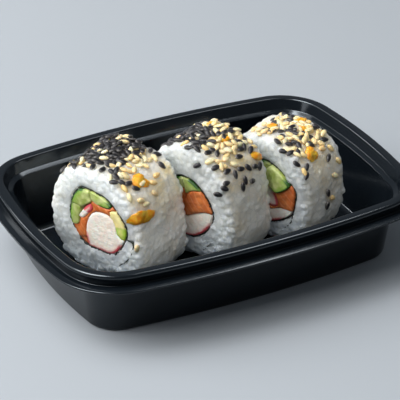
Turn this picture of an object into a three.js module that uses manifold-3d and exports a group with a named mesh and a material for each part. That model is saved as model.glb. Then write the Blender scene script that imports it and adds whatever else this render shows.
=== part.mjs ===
// Takeaway sushi tray: a black moulded tray with three inside-out rolls standing in a row.
// Millimetres, +Z up. The origin is at the centre of the tray's underside and X runs along the tray.
import * as THREE from 'three';
import { mergeVertices } from 'three/addons/utils/BufferGeometryUtils.js';
import Module from 'manifold-3d';

const wasm = await Module();
wasm.setup();

// ---- driving dimensions ----

const gap = 0.3; // clearance kept between two pieces that touch

const tray = {
  height: 33,
  beadHalfLength: 83.5, // outer edge of the raised bead, from the centre
  beadHalfWidth: 58.6,
  longSideRadius: 499, // both pairs of sides bow outward a little
  shortSideRadius: 246,
  cornerRadius: 24.8,
  wall: 0.9,
  beadWidth: 4.4,
  beadDrop: 4.8, // from the top of the bead down to the flange
  flangeReach: 4, // how far the flange stands out past the bead
  ledgeWidth: 2.4, // stacking ledge inside, level with the flange
  wallTop: -8.7, // inner wall below the ledge, measured outward from the bead's edge
  wallBottom: -12.2,
  floorFillet: 4.2,
};

const nori = { thickness: 0.5 };
const fillingSteps = 22; // points round a filling's loop

const rice = {
  edgeRound: 4, // rounding of the rice at each cut end
  relief: 0.6, // depth of the bumps that the grains make
  aroundSteps: 34,
};

const grain = { half: [2.9, 1.3, 1.2], sides: 5 };
const seed = { half: [1.65, 0.95, 0.65], sides: 5 };
const flake = { half: [2.3, 1.2, 0.7], sides: 5 };
const heapSides = 8; // of the low heaps that the sesame makes on top

// Each roll: where it stands, its half width and height, how thick it is cut, how square it is all
// round and at its near foot, and how far that foot has slumped. Its ring is the line of the nori
// round the fillings, on the cut face, as [right, up] from the centre of the roll; its tail is the
// free edge of the nori in the rice.
// A filling is a loop of [right, up] points, rounded off, and how far it stands out of the cut face.
// It ends at the nori where its loop crosses the ring. An earlier filling presses into a later one.
// A heap is its degrees round the roll from the right side, its place along it and its half sizes.
const rolls = [
  {
    name: 'roll_1',
    at: [-37.2, 6.5],
    turn: 27,
    half: [23.2, 24.6],
    thickness: 33.8,
    squareness: 2.5,
    footSquareness: 3.2,
    slump: 0.19,
    ring: [[-7.2, 14.8], [-11.4, 7.4], [-12.1, 0], [-9.2, -6.4], [-5, -11], [3.6, -11.9],
      [10.2, -11.6], [15, -5.6], [17.2, 1], [13.4, 8], [7.6, 13.2], [-1, 15.4]],
    tail: [[19.8, -2.6], [19.2, -7.8], [16.2, -13]],
    fillings: [
      {
        name: 'crab',
        out: 0.2,
        loop: [[-3.8, -4], [-2.6, 1.4], [-0.4, 5], [3.8, 6.6], [8.2, 6.2], [10.4, 4.4], [11.6, 0.8],
          [12.9, -2.6], [16.6, -2.6], [14.6, -7.4], [10.3, -13], [4.3, -13], [-1.4, -13], [-3.2, -8]],
      },
      {
        name: 'crab_shred',
        out: 0.5,
        loop: [[-7.2, 1.6], [-5.9, 3.8], [-3.4, 7.4], [-1, 9], [-0.4, 7], [-3.2, 3.6], [-5.5, 1.2]],
      },
      {
        name: 'avocado',
        out: 0.4,
        loop: [[8.6, 8.4], [11.6, 9.4], [15.6, 6.2], [19, 2.2], [19, -1.6], [16.2, -2.4], [13, -2.4],
          [11.8, 0.6], [10.6, 3.8], [9, 6.2]],
      },
      {
        name: 'cucumber_strip',
        out: 0.5,
        loop: [[-0.6, 17], [5, 16.2], [9.8, 13], [8.5, 10], [4.6, 9.7], [1, 10.3], [-0.9, 11.6]],
      },
      {
        name: 'cucumber_top',
        out: 0.9,
        loop: [[-8.6, 17], [-3.6, 18], [-0.4, 16.4], [-0.8, 10.2], [-3.4, 8.4], [-5.7, 6.4],
          [-8, 7], [-13, 7.4], [-12.6, 11]],
      },
      {
        name: 'cucumber_side',
        out: 0.6,
        loop: [[-13.6, 7.6], [-8, 7.2], [-6.3, 5.8], [-7, 2.2], [-7.6, -2.2], [-10.6, -3],
          [-14, -2], [-14, 4]],
      },
      {
        name: 'salmon_top',
        out: 0.3,
        loop: [[-0.8, 10.4], [4.6, 10.8], [8.6, 14.4], [13.6, 10], [9, 5.6], [3.8, 6], [-0.6, 3.8],
          [-3.4, 1.4], [-2.2, 5.6]],
      },
      {
        name: 'salmon_side',
        out: 0.2,
        loop: [[-7.2, 1.6], [-1.8, 3], [-2.6, -4], [-3.2, -7.2], [-11.2, -7.6], [-12.6, -3],
          [-8, -1.4]],
      },
      {
        name: 'salmon_low',
        out: -0.4,
        loop: [[-11.4, -6.8], [-2.8, -6.6], [-0.6, -13.4], [-7.6, -14]],
      },
    ],
    heaps: [{ degrees: 100, along: 5, half: [9, 7, 2.2] }],
    toppings: { seeds: 24, flakes: 3, grains: 10, seedNumber: 11 },
  },
  {
    name: 'roll_2',
    at: [2.6, 0.6],
    turn: 25,
    half: [22.6, 26],
    thickness: 28.6,
    squareness: 2.35,
    footSquareness: 3.1,
    slump: 0.17,
    ring: [[0.6, 11.5], [6.4, 8.4], [10.4, 3.6], [13.3, -1.6], [12.4, -6.6], [8.8, -12],
      [3, -15.8], [-5, -15.4], [-11.6, -9.4], [-13.2, -1], [-10.8, 7], [-5.4, 11]],
    tail: [[13.8, -10.4], [12.4, -15.4], [8.6, -20.2]],
    fillings: [
      {
        name: 'crab',
        out: 0.2,
        loop: [[-9, -6], [-0.9, -7], [3.9, -4.4], [8.5, -2.4], [13, -1.8], [15, -5], [11, -9],
          [9.2, -14], [2.9, -18], [-5, -18], [-10, -14]],
      },
      {
        name: 'salmon_top',
        out: 0.5,
        loop: [[-1.4, -7.4], [0, 4.4], [5.6, 7], [11, 7], [15, -1.4], [12, -2.4], [8.5, -3],
          [3.9, -5]],
      },
      {
        name: 'cucumber_top',
        out: 0.6,
        loop: [[-1.6, 13], [3.7, 12.6], [9, 9.6], [7.4, 6.4], [5.3, 5.6], [0.6, 3.6], [-1.8, 6.4]],
      },
      {
        name: 'salmon_side',
        out: 0.1,
        loop: [[-1.6, 5.8], [0.6, 4], [-0.8, -7.4], [-7.4, -6.4], [-8, 5]],
      },
      {
        name: 'cucumber_side',
        out: 0.3,
        loop: [[-1.4, 13.6], [-1.4, 6.2], [-8.4, 5.4], [-14, 6], [-8.6, 13]],
      },
      {
        name: 'avocado',
        out: 0.3,
        loop: [[-7.6, 5.6], [-7.2, -6], [-10.2, -8.4], [-15, -7.6], [-15, 4], [-11, 6.4]],
      },
    ],
    heaps: [{ degrees: 96, along: 6, half: [7.5, 6, 2.4] }],
    toppings: { seeds: 25, flakes: 2, grains: 10, seedNumber: 23 },
  },
  {
    name: 'roll_3',
    at: [38.6, -1.4],
    turn: 26,
    half: [23, 24],
    thickness: 28.2,
    squareness: 2.45,
    footSquareness: 3.1,
    slump: 0.04,
    ring: [[-0.8, 13.9], [6, 11.8], [11.2, 8.2], [15, 4], [15.2, -2], [13.9, -8], [9.6, -11.9],
      [4.6, -14.6], [-1, -16], [-8, -13.8], [-12.8, -7], [-13.2, 2], [-8.4, 10.6]],
    tail: [[14.8, -9.6], [12.4, -14], [9, -18]],
    fillings: [
      {
        name: 'cucumber_top',
        out: 1.6,
        loop: [[-1, 7], [3.4, 12.8], [7.4, 12.6], [11.4, 9.4], [12.8, 6.2], [10.2, 3], [5.8, 0.6],
          [2, 3.6]],
      },
      {
        name: 'crab_shred',
        out: 0,
        loop: [[-7.6, 2.6], [1.4, 3.6], [4.9, -0.8], [6.4, -4.4], [6, -6.8], [2.6, -7], [-7.4, -7.6]],
      },
      {
        name: 'salmon_top',
        out: 0.4,
        loop: [[2, 3], [5.6, 0], [12, 5.6], [16.6, 5.4], [16.6, -5.6], [11.9, -6.4], [8.3, -6.4],
          [1.2, -9], [4.6, -4]],
      },
      {
        name: 'crab',
        out: 0.2,
        loop: [[-9, -7], [0.7, -8.6], [5.3, -7.4], [8.3, -6], [11.9, -6], [16, -7], [11, -13.6],
          [5, -17], [-1, -18], [-9, -16.4]],
      },
      {
        name: 'cucumber_side',
        out: 0.3,
        loop: [[-1, 15.6], [4, 14], [-0.8, 7], [1.8, 3], [-7.4, 2.4], [-13.6, 5], [-9, 12]],
      },
      {
        name: 'avocado',
        out: 0.3,
        loop: [[-7.2, 3.4], [-7, -7.4], [-9, -10], [-15, -8], [-15, 4], [-12, 6]],
      },
    ],
    heaps: [{ degrees: 90, along: 2, half: [9, 6, 1.8] }],
    toppings: { seeds: 25, flakes: 3, grains: 10, seedNumber: 37 },
  },
];

const finishes = {
  tray: { color: 0x0c0d10, roughness: 0.3, metalness: 0 },
  rice: { color: 0xe9ebe6, roughness: 0.45, metalness: 0 },
  nori: { color: 0x14180f, roughness: 0.6, metalness: 0 },
  crab: { color: 0xf1e4d8, roughness: 0.5, metalness: 0 },
  salmon: { color: 0xe87a3c, roughness: 0.4, metalness: 0 },
  cucumber: { color: 0xa9c66a, roughness: 0.35, metalness: 0 },
  avocado: { color: 0xd3cf6e, roughness: 0.45, metalness: 0 },
};

// ---- small helpers ----

const radians = THREE.MathUtils.degToRad;

// A repeatable stream of numbers from 0 to 1.
function randomStream(start) {
  let state = start;
  return () => {
    state = (state + 0x6d2b79f5) | 0;
    let mixed = Math.imul(state ^ (state >>> 15), 1 | state);
    mixed = (mixed + Math.imul(mixed ^ (mixed >>> 7), 61 | mixed)) ^ mixed;
    return ((mixed ^ (mixed >>> 14)) >>> 0) / 4294967296;
  };
}

// Closed skin through rings of points, all with the same count, shut by a fan at both ends.
// Seen from outside, each ring runs anticlockwise about the direction from first ring to last.
function skin(rings) {
  const count = rings[0].length;
  const points = rings.flat();
  const ends = [rings[0], rings[rings.length - 1]];
  ends.forEach((ring) => points.push(centreOf(ring)));
  const index = [];
  for (let row = 0; row + 1 < rings.length; row += 1) {
    for (let i = 0; i < count; i += 1) {
      const next = (i + 1) % count;
      const a = row * count + i;
      const b = row * count + next;
      index.push(a, b, b + count, a, b + count, a + count);
    }
  }
  const last = (rings.length - 1) * count;
  for (let i = 0; i < count; i += 1) {
    const next = (i + 1) % count;
    index.push(rings.length * count, next, i);
    index.push(rings.length * count + 1, last + i, last + next);
  }
  const geometry = new THREE.BufferGeometry().setFromPoints(points);
  geometry.setIndex(index);
  return geometry;
}

function centreOf(ring) {
  const sum = ring.reduce((total, point) => total.add(point), new THREE.Vector3());
  return sum.divideScalar(ring.length);
}

function toSolid(geometry) {
  const bare = geometry.clone();
  bare.deleteAttribute('normal');
  bare.deleteAttribute('uv');
  const merged = mergeVertices(bare, 1e-4);
  const vertProperties = new Float32Array(merged.attributes.position.array);
  const triVerts = new Uint32Array(merged.index.array);
  return new wasm.Manifold(new wasm.Mesh({ numProp: 3, vertProperties, triVerts }));
}

function toGeometry(solid) {
  const mesh = solid.getMesh();
  const geometry = new THREE.BufferGeometry();
  geometry.setAttribute('position', new THREE.BufferAttribute(mesh.vertProperties, 3));
  geometry.setIndex(new THREE.BufferAttribute(mesh.triVerts, 1));
  return geometry;
}

function namedMesh(name, geometry, finish) {
  const mesh = new THREE.Mesh(geometry, new THREE.MeshStandardMaterial(finishes[finish]));
  mesh.name = name;
  return mesh;
}

// ---- the tray ----

// The bead's outer edge is made of four wide arcs and four corner arcs. Each arc meets the next
// without a kink, so a line moved outward by any amount keeps the same arc centres.
function trayArcs() {
  const longCentre = tray.beadHalfWidth - tray.longSideRadius;
  const shortCentre = tray.beadHalfLength - tray.shortSideRadius;
  const fromLong = tray.longSideRadius - tray.cornerRadius;
  const fromShort = tray.shortSideRadius - tray.cornerRadius;
  // The corner centre is where circles about (0, longCentre) and (shortCentre, 0) cross.
  let x = tray.beadHalfLength - tray.cornerRadius;
  let y = tray.beadHalfWidth - tray.cornerRadius;
  for (let pass = 0; pass < 40; pass += 1) {
    y = longCentre + Math.sqrt(fromLong ** 2 - x ** 2);
    x = shortCentre + Math.sqrt(fromShort ** 2 - y ** 2);
  }
  const longEnd = Math.atan2(y - longCentre, x);
  const shortEnd = Math.atan2(y, x - shortCentre);
  return [
    { x: shortCentre, y: 0, radius: tray.shortSideRadius, from: 0, to: shortEnd, steps: 2 },
    { x, y, radius: tray.cornerRadius, from: shortEnd, to: longEnd, steps: 6 },
    { x: 0, y: longCentre, radius: tray.longSideRadius, from: longEnd, to: Math.PI / 2, steps: 3 },
  ];
}

// One ring round the tray, at a distance outward from the bead's edge and at a height.
function trayRing(arcs, outward, height) {
  const quarter = [];
  for (const arc of arcs) {
    for (let step = 0; step < arc.steps; step += 1) {
      const angle = arc.from + ((arc.to - arc.from) * step) / arc.steps;
      const radius = arc.radius + outward;
      quarter.push([arc.x + radius * Math.cos(angle), arc.y + radius * Math.sin(angle)]);
    }
  }
  const middle = [0, tray.beadHalfWidth + outward];
  const half = [...quarter, middle];
  const mirrored = quarter.slice(1).reverse().map(([x, y]) => [-x, y]);
  const upper = [...half, ...mirrored];
  const left = [-(tray.beadHalfLength + outward), 0];
  const lower = [...upper].reverse().slice(0, -1).map(([x, y]) => [x, -y]);
  return [...upper, left, ...lower].map(([x, y]) => new THREE.Vector3(x, y, height));
}

// Points of a quarter circle in the wall's section, as [outward, height].
function fillet(centre, radius, fromDegrees, toDegrees, steps) {
  const points = [];
  for (let step = 0; step <= steps; step += 1) {
    const angle = radians(fromDegrees + ((toDegrees - fromDegrees) * step) / steps);
    points.push([centre[0] + radius * Math.cos(angle), centre[1] + radius * Math.sin(angle)]);
  }
  return points;
}

// Section of the moulding, from the underside's edge out to the flange, over the bead and in.
function traySection() {
  const top = tray.height;
  const ledge = top - tray.beadDrop;
  const footFillet = tray.floorFillet - tray.wall;
  const footEdge = tray.wallBottom + tray.wall;
  return [
    ...fillet([footEdge - footFillet, footFillet], footFillet, -90, -8, 3),
    [tray.wallTop + tray.wall, ledge - 1.9],
    [tray.wallTop + tray.ledgeWidth, ledge - 0.9],
    [tray.wall - tray.beadWidth - 0.2, top - tray.wall - 0.1],
    [-tray.wall - 0.1, top - tray.wall - 0.1],
    [-tray.wall - 1, ledge - 0.8],
    [tray.flangeReach - 0.3, ledge - 1.1],
    [tray.flangeReach, ledge - 0.7],
    [tray.flangeReach - 0.3, ledge - 0.25],
    [1.4, ledge + 0.1],
    [-0.9, ledge - 0.1],
    [-0.1, top - 0.9],
    ...fillet([-0.8, top - 0.7], 0.7, 20, 90, 2),
    ...fillet([0.7 - tray.beadWidth, top - 0.6], 0.6, 90, 160, 2),
    [-6.3, ledge + 0.6],
    [tray.wallTop + tray.ledgeWidth - 0.6, ledge + 0.2],
    [tray.wallTop + 0.3, ledge - 0.6],
    [tray.wallTop, ledge - 1.2],
    ...fillet(
      [tray.wallBottom - tray.floorFillet, tray.wall + tray.floorFillet],
      tray.floorFillet, -8, -90, 3,
    ),
  ];
}

function makeTray() {
  const arcs = trayArcs();
  const rings = traySection().map(([outward, height]) => trayRing(arcs, outward, height));
  return namedMesh('tray', skin(rings), 'tray');
}

// ---- shapes on the cut face ----
// A face shape is a list of [right, up] points, anticlockwise as seen on the cut face.

function splineLoop(points, steps) {
  const corners = points.map(([right, up]) => new THREE.Vector3(right, up, 0));
  const curve = new THREE.CatmullRomCurve3(corners, true, 'centripetal');
  const loop = curve.getSpacedPoints(steps).slice(0, steps).map((p) => [p.x, p.y]);
  return signedArea(loop) > 0 ? loop : loop.reverse();
}

function splineLine(points, steps) {
  const corners = points.map(([right, up]) => new THREE.Vector3(right, up, 0));
  const curve = new THREE.CatmullRomCurve3(corners, false, 'centripetal');
  return curve.getSpacedPoints(steps).map((p) => [p.x, p.y]);
}

function signedArea(loop) {
  return loop.reduce((sum, [x, y], i) => {
    const [nextX, nextY] = loop[(i + 1) % loop.length];
    return sum + (x * nextY - nextX * y) / 2;
  }, 0);
}

function unitNormal(before, after) {
  const along = [after[0] - before[0], after[1] - before[1]];
  const length = Math.hypot(...along);
  return [along[1] / length, -along[0] / length];
}

function growLoop(loop, amount) {
  return loop.map(([x, y], i) => {
    const before = loop[(i + loop.length - 1) % loop.length];
    const after = loop[(i + 1) % loop.length];
    const normal = unitNormal(before, after);
    return [x + normal[0] * amount, y + normal[1] * amount];
  });
}

// A band of even width along an open line.
function bandAlong(line, halfWidth) {
  const side = (sign) => line.map(([x, y], i) => {
    const before = line[Math.max(i - 1, 0)];
    const after = line[Math.min(i + 1, line.length - 1)];
    const normal = unitNormal(before, after);
    return [x + sign * normal[0] * halfWidth, y + sign * normal[1] * halfWidth];
  });
  return [...side(1), ...side(-1).reverse()];
}

// A bar with the face shape as its section, running through the roll along X. The cut face looks
// towards -X, so a point to the right on it lies towards -Y.
function barThrough(roll, loop, length) {
  const shape = new THREE.Shape(loop.map(([right, up]) => new THREE.Vector2(right, up)));
  const geometry = new THREE.ExtrudeGeometry(shape, { depth: length, bevelEnabled: false });
  const basis = new THREE.Matrix4().makeBasis(
    new THREE.Vector3(0, -1, 0), new THREE.Vector3(0, 0, 1), new THREE.Vector3(-1, 0, 0),
  );
  geometry.applyMatrix4(basis);
  geometry.translate(length / 2, 0, roll.half[1]);
  return toSolid(geometry);
}

// ---- the rice ----

// The roll's outer line at an angle, inset from the full size, as [right, up].
function rollSection(roll, angle, inset) {
  const c = Math.cos(angle);
  const s = Math.sin(angle);
  const power = 2 / (c > 0 && s < 0 ? roll.footSquareness : roll.squareness);
  const right = (roll.half[0] - inset) * Math.sign(c) * Math.abs(c) ** power;
  const up = (roll.half[1] - inset) * Math.sign(s) * Math.abs(s) ** power;
  const towardsSlump = Math.cos(Math.atan2(up, right) - radians(-48));
  const swell = 1 + roll.slump * Math.max(0, towardsSlump) ** 3;
  return [right * swell, Math.max(up * swell, inset - roll.half[1])];
}

// Rounded block of rice with the bumps of its grains, before the fillings' space is cut out.
function riceBlock(roll, random) {
  const end = roll.thickness / 2;
  const round = rice.edgeRound;
  const stations = [[-end, 0.46], [-end, 0.74], [-end, 1]];
  const quarterSteps = [0, 30, 60, 90];
  const rings = stations.map(([x, scale]) => ({ x, inset: round, scale }));
  rings.pop();
  quarterSteps.forEach((degrees) => {
    const angle = radians(degrees);
    const inset = round * (1 - Math.sin(angle));
    rings.push({ x: -end + round * (1 - Math.cos(angle)), inset, scale: 1 });
  });
  const straight = roll.thickness - 2 * round;
  const straightSteps = Math.round(straight / 5);
  for (let step = 1; step < straightSteps; step += 1) {
    rings.push({ x: -end + round + (straight * step) / straightSteps, inset: 0, scale: 1 });
  }
  const backward = rings.filter((ring) => ring.x <= -end + round + 1e-6);
  backward.reverse().forEach((ring) => rings.push({ ...ring, x: -ring.x }));
  return skin(rings.map((ring) => riceRing(roll, ring, random)));
}

function riceRing(roll, { x, inset, scale }, random) {
  const points = [];
  for (let i = 0; i < rice.aroundSteps; i += 1) {
    const angle = -(2 * Math.PI * i) / rice.aroundSteps;
    const bump = (random() * 2 - 1) * rice.relief;
    const [right, up] = rollSection(roll, angle, inset - bump);
    const along = x + (scale < 1 ? (random() * 2 - 1) * rice.relief * 0.6 : bump * 0.4);
    const height = Math.max(roll.half[1] + up * scale, 0);
    points.push(new THREE.Vector3(along, -right * scale, height));
  }
  return points;
}

// A plump grain or seed, longest along its own X.
function pip({ half, sides }) {
  const rings = [-0.62, 0, 0.62].map((station) => {
    const radius = Math.sqrt(1 - station ** 2);
    const ring = [];
    for (let i = 0; i < sides; i += 1) {
      const angle = (2 * Math.PI * i) / sides;
      const y = half[1] * radius * Math.cos(angle);
      const z = half[2] * radius * Math.sin(angle);
      ring.push(new THREE.Vector3(half[0] * station, y, z));
    }
    return ring;
  });
  const geometry = skin(rings);
  const position = geometry.attributes.position;
  const tips = rings.length * sides;
  position.setX(tips, -half[0]);
  position.setX(tips + 1, half[0]);
  return geometry;
}

// Sets a pip on the rice, at an angle round the roll and a place along it, sunk by a part of its
// half thickness and turned about the outward direction.
function settle(roll, kind, { angle, along, spin, sink }) {
  const [right, up] = rollSection(roll, angle, 0);
  const [nextRight, nextUp] = rollSection(roll, angle + 0.05, 0);
  const around = new THREE.Vector3(0, -(nextRight - right), nextUp - up).normalize();
  const axis = new THREE.Vector3(1, 0, 0);
  const outward = new THREE.Vector3().crossVectors(around, axis).normalize();
  if (outward.z * up - outward.y * right < 0) {
    outward.negate();
  }
  const nearEnd = Math.max(0, Math.abs(along) - (roll.thickness / 2 - rice.edgeRound));
  const fall = rice.edgeRound - Math.sqrt(Math.max(0, rice.edgeRound ** 2 - nearEnd ** 2));
  const long = axis.clone().multiplyScalar(Math.cos(spin)).addScaledVector(around, Math.sin(spin));
  const wide = new THREE.Vector3().crossVectors(outward, long);
  const place = new THREE.Vector3(along, -right, roll.half[1] + up);
  place.addScaledVector(outward, -fall - kind.half[2] * sink);
  const frame = new THREE.Matrix4().makeBasis(long, wide, outward).setPosition(place);
  return toSolid(pip(kind).applyMatrix4(frame));
}

// Seeds and flakes lie over the top of the roll, loose grains round its sides and edges.
function scatterPlan(roll, random) {
  const { seeds, flakes, grains } = roll.toppings;
  const reach = roll.thickness / 2 - 1.5;
  const spot = (kind, from, to, sink) => ({
    kind,
    angle: radians(from + (to - from) * random()),
    along: (random() * 2 - 1) * reach,
    spin: random() * Math.PI,
    sink,
  });
  const plan = [];
  for (let i = 0; i < seeds; i += 1) {
    plan.push(spot(seed, 28, 158, 0.5));
  }
  for (let i = 0; i < flakes; i += 1) {
    plan.push(spot(flake, 20, 130, 0.4));
  }
  for (let i = 0; i < grains; i += 1) {
    const side = random() < 0.5 ? [-25, 28] : [158, 205];
    plan.push(spot(grain, side[0], side[1], 0.4));
  }
  return plan;
}

// Drops a pip that would touch one set before it, so that each stays a clean bump.
function spacedOut(roll, plan) {
  const kept = [];
  for (const item of plan) {
    const [right, up] = rollSection(roll, item.angle, 0);
    const place = new THREE.Vector3(item.along, right, up);
    const clear = kept.every((other) => {
      const room = (item.kind.half[0] + other.item.kind.half[0]) * 0.8;
      return other.place.distanceTo(place) > room;
    });
    if (clear) {
      kept.push({ item, place });
    }
  }
  return kept.map(({ item }) => item);
}

function makeRice(roll, ring, tail) {
  const random = randomStream(roll.toppings.seedNumber);
  const past = roll.thickness + 20;
  let solid = toSolid(riceBlock(roll, random));
  for (const { degrees, along, half } of roll.heaps) {
    const place = { angle: radians(degrees), along, spin: 0, sink: 0.35 };
    solid = solid.add(settle(roll, { half, sides: heapSides }, place));
  }
  for (const item of spacedOut(roll, scatterPlan(roll, random))) {
    solid = solid.add(settle(roll, item.kind, item));
  }
  const clearance = nori.thickness / 2 + gap;
  solid = solid.subtract(barThrough(roll, growLoop(ring, clearance), past));
  solid = solid.subtract(barThrough(roll, bandAlong(tail, clearance), past));
  return namedMesh(`${roll.name}_rice`, toGeometry(solid), 'rice');
}

// ---- nori and fillings ----

// The nori is one strip: a closed ring round the fillings and a tail that runs out into the rice.
function makeNori(roll, ring, tail) {
  const length = roll.thickness - 1.4;
  const outer = barThrough(roll, growLoop(ring, nori.thickness / 2), length);
  const inner = barThrough(roll, growLoop(ring, -nori.thickness / 2), length + 2);
  const strip = barThrough(roll, bandAlong(tail, nori.thickness / 2), length);
  const solid = outer.add(strip).subtract(inner);
  return namedMesh(`${roll.name}_nori`, toGeometry(solid), 'nori');
}

function makeFillings(roll, ring) {
  const room = growLoop(ring, -(nori.thickness / 2 + gap));
  const meshes = [];
  let taken = null;
  for (const filling of roll.fillings) {
    const length = roll.thickness + 2 * filling.out;
    const loop = splineLoop(filling.loop, fillingSteps);
    let solid = barThrough(roll, loop, length);
    solid = solid.intersect(barThrough(roll, room, length + 2));
    if (taken) {
      solid = solid.subtract(taken);
    }
    const space = barThrough(roll, growLoop(loop, gap), roll.thickness + 8);
    taken = taken ? taken.add(space) : space;
    const finish = filling.name.split('_')[0];
    meshes.push(namedMesh(`${roll.name}_${filling.name}`, toGeometry(solid), finish));
  }
  return meshes;
}

function makeRoll(roll) {
  const group = new THREE.Group();
  group.position.set(roll.at[0], roll.at[1], tray.wall + gap);
  group.rotation.z = radians(roll.turn);
  const ring = splineLoop(roll.ring, 34);
  const tail = splineLine([nearestOn(ring, roll.tail[0]), ...roll.tail], 7);
  group.add(makeRice(roll, ring, tail), makeNori(roll, ring, tail), ...makeFillings(roll, ring));
  return group;
}

function nearestOn(loop, [x, y]) {
  return loop.reduce((best, point) => {
    const closer = Math.hypot(point[0] - x, point[1] - y) < Math.hypot(best[0] - x, best[1] - y);
    return closer ? point : best;
  });
}

const sushiTray = new THREE.Group();
sushiTray.add(makeTray(), ...rolls.map(makeRoll));

export default sushiTray;
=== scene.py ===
# Takeaway sushi tray: three inside-out rolls in a black moulded tray.
# Metres, +Z up, X along the tray, which stands on z = 0.
import math

import bmesh
import bpy
import numpy as np
from mathutils import Matrix, Vector, noise
from mathutils.bvhtree import BVHTree


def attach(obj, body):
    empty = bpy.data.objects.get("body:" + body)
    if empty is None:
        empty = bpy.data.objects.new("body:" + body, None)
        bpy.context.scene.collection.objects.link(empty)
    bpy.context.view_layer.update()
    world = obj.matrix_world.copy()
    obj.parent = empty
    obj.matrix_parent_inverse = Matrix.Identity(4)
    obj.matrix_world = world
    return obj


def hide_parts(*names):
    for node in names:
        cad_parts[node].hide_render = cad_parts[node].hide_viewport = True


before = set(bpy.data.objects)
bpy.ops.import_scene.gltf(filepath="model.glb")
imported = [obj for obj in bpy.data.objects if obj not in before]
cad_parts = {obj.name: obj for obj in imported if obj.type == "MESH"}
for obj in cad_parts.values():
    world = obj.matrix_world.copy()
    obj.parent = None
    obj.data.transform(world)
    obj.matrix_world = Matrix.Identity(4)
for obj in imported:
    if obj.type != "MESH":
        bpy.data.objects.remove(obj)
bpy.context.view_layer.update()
mm = 0.001
scene = bpy.context.scene
noise.seed_set(7)  # or its vector noise changes from run to run


# Shader and geometry nodes. A Wire is an output socket that takes part in sums, a Board is a tree.
class Wire:
    def __init__(self, board, socket):
        self.board = board
        self.socket = socket

    def math(self, operation, first, second):
        return self.board.add("ShaderNodeMath", {"operation": operation}, {0: first, 1: second})

    def __add__(self, other):
        return self.math("ADD", self, other)

    def __sub__(self, other):
        return self.math("SUBTRACT", self, other)

    def __rsub__(self, other):
        return self.math("SUBTRACT", other, self)

    def __mul__(self, other):
        return self.math("MULTIPLY", self, other)

    __radd__ = __add__
    __rmul__ = __mul__


class Board:
    def __init__(self, tree, owner=None):
        self.tree = tree
        self.owner = owner

    def add(self, kind, settings=None, inputs=None, output=0):
        node = self.tree.nodes.new(kind)
        for name, value in (settings or {}).items():
            setattr(node, name, value)
        for name, value in (inputs or {}).items():
            if isinstance(value, Wire):
                self.tree.links.new(value.socket, node.inputs[name])
            else:
                node.inputs[name].default_value = value
        return Wire(self, node.outputs[output]) if node.outputs else None

    def mix(self, factor, *colours):  # each colour is a wire or (red, green, blue)
        first, second = ((*c, 1.0) if isinstance(c, tuple) else c for c in colours)
        return self.add("ShaderNodeMix", {"data_type": "RGBA"}, {0: factor, 6: first, 7: second},
                        output=2)

    def noise(self, where, scale, detail=2.0, roughness=0.5):
        values = {"Vector": where, "Scale": scale, "Detail": detail, "Roughness": roughness}
        return self.add("ShaderNodeTexNoise", {}, values)

    def cells(self, where, scale, settings=None, output=0):
        return self.add("ShaderNodeTexVoronoi", settings, {"Vector": where, "Scale": scale}, output)

    def ramp(self, factor, low, high):
        values = {"Value": factor, "From Min": low, "From Max": high}
        return self.add("ShaderNodeMapRange", {}, values)

    def patches(self, where, scale, detail=3.0):  # blotches with soft edges
        return self.ramp(self.noise(where, scale, detail), 0.35, 0.65)

    def part(self, vector, axis):
        return self.add("ShaderNodeSeparateXYZ", {}, {"Vector": vector}, output=axis)

    def attribute(self, name, output=2):
        return self.add("ShaderNodeAttribute", {"attribute_name": name}, output=output)

    def rind(self, wander, deep, shallow):  # 1 close under a filling's skin, 0 further in
        return self.ramp(self.attribute("depth") + wander, deep, shallow) * self.attribute("skin")

    # Soft is how much of the light goes in, bleed how far each colour of it goes, times the reach.
    def surface(self, colour, roughness, relief=None, strength=0.2, depth=0.0003, soft=0.0,
                bleed=(1.0, 1.0, 1.0), reach=0.002, others=None):
        values = {"Base Color": colour, "Roughness": roughness, "Subsurface Weight": soft,
                  "Subsurface Radius": bleed, "Subsurface Scale": reach, **(others or {})}
        if relief:
            values["Normal"] = self.add("ShaderNodeBump", {}, {
                "Height": relief, "Strength": strength, "Distance": depth})
        shader = self.add("ShaderNodeBsdfPrincipled", {}, values)
        self.add("ShaderNodeOutputMaterial", {}, {"Surface": shader})
        return self.owner


def emptyBoard(owner):
    owner.use_nodes = True
    owner.node_tree.nodes.clear()
    return Board(owner.node_tree, owner)


def newMaterial(name, attribute=None):  # with the object's own coordinates, or a vector attribute
    board = emptyBoard(bpy.data.materials.new(name))
    if attribute:
        return board, board.attribute(attribute, output=1)
    return board, board.add("ShaderNodeTexCoord", output=3)


def newObject(name, data):
    obj = bpy.data.objects.new(name, data)
    scene.collection.objects.link(obj)
    return obj


def coat(obj, material):
    obj.data.materials.clear()
    obj.data.materials.append(material)


# Camera: a long lens looking down over the near left corner.
camera = {
    "turn": -28.55,
    "height": 30.24,
    "roll": 0.72,
    "distance": 0.8967,
    "lens": 194.45,
    "sensor": 36.0,
    "clip": 0.05,
    "target": (-0.00969, -0.01494, 0.033),
}


def makeCamera():
    data = bpy.data.cameras.new("camera")
    data.lens = camera["lens"]
    data.sensor_width = camera["sensor"]
    data.clip_start = camera["clip"]
    turn = math.radians(camera["turn"])
    height = math.radians(camera["height"])
    back = Vector((math.sin(turn) * math.cos(height), -math.cos(turn) * math.cos(height),
                   math.sin(height)))
    holder = newObject("camera", data)
    aim = (-back).to_track_quat("-Z", "Y").to_matrix().to_4x4()
    spin = Matrix.Rotation(math.radians(camera["roll"]), 4, "Z")
    place = Matrix.Translation(Vector(camera["target"]) + back * camera["distance"])
    holder.matrix_world = place @ aim @ spin
    scene.camera = holder


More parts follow.
